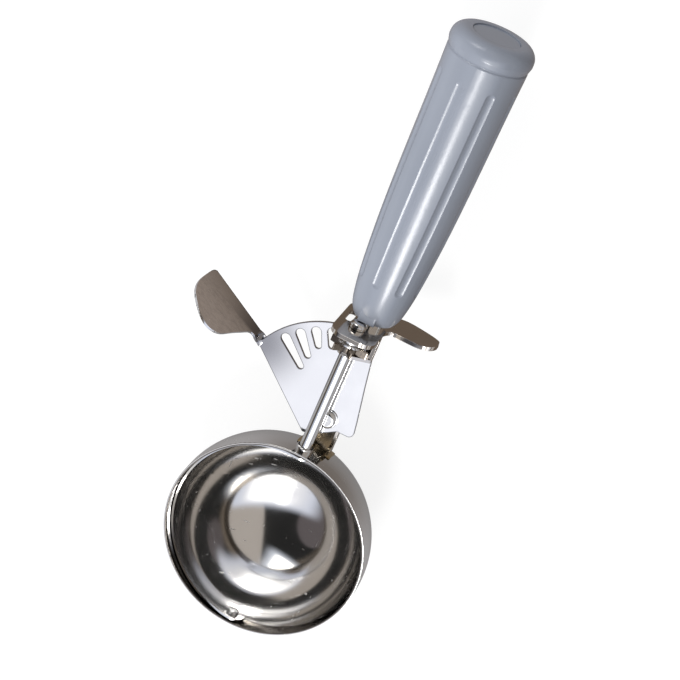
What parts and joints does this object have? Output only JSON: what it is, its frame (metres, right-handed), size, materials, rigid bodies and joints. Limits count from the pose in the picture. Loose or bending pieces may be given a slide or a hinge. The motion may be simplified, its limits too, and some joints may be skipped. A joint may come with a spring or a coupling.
{
  "type": "lever ice cream scoop",
  "caption": "Round scoop with a slotted thumb lever that turns a scraper band through the bowl, on a tapered grip with shallow grooves.",
  "frame": {"origin": "centre of the bounding box's underside, which is the level of the bowl's lowest point", "axes": "+X along the tool from the bowl to the handle's butt, +Y to the side of the thumb lever, +Z out of the bowl's mouth"},
  "size_m": [0.2304, 0.0908, 0.0482],
  "materials": {
    "bowl_steel": "mirror-polished stainless steel",
    "blade_steel": "bright rolled stainless strip",
    "rod_steel": "polished stainless rod",
    "gear_steel": "pressed steel, bright plated",
    "turned_steel": "turned and tumbled stainless steel",
    "lever_steel": "polished stainless sheet",
    "bolster_steel": "polished stainless sheet",
    "neck_steel": "stainless sheet with a faint heat tint at the foot",
    "tang_steel": "plain stainless bar",
    "braze_bronze": "dull golden braze",
    "spring_wire": "drawn spring wire",
    "grip_plastic": "glossy blue-grey moulding",
    "plug_plastic": "glossy blue-grey moulding"
  },
  "bodies": {
    "frame": {"bowl": "bowl_steel", "bowl_bush": "turned_steel", "tip_rivet": "turned_steel", "neck_channel": "neck_steel", "braze_seam": "braze_bronze", "pivot_stud": "turned_steel", "pivot_washer": "turned_steel", "pivot_cap": "turned_steel", "return_spring": "spring_wire", "bolster_plate": "bolster_steel", "bearing_ear": "bolster_steel", "tang": "tang_steel", "tang_rivet_lower": "turned_steel", "tang_rivet_upper": "turned_steel", "ferrule": "turned_steel", "handle": "grip_plastic", "handle_plug": "plug_plastic"},
    "lever": {"lever_plate": "lever_steel", "spring_peg": "turned_steel"},
    "scraper": {"scraper_rod": "rod_steel", "scraper_blade": "blade_steel", "blade_rivet": "turned_steel", "pinion": "gear_steel", "pinion_pin": "turned_steel", "thrust_washer": "turned_steel", "rod_collar": "turned_steel", "end_dome": "turned_steel"}
  },
  "joints": [
    {"name": "lever_pivot", "type": "hinge", "parent": "frame", "child": "lever", "pos_m": [-0.0302, -0.01195, 0.0309], "axis": [0, 0, -1], "range_deg": [0, 28.6], "stiffness_Nm_per_rad": 0.6, "springref_deg": -20.05, "deforming": ["return_spring"]},
    {"name": "scraper_spin", "type": "hinge", "parent": "frame", "child": "scraper", "pos_m": [-0.0782, -0.00945, 0.036], "axis": [-1, 0, 0], "range_deg": [0, 166]}
  ],
  "couplings": [
    {"joint": "scraper_spin", "follows": "lever_pivot", "ratio": 5.7692}
  ]
}
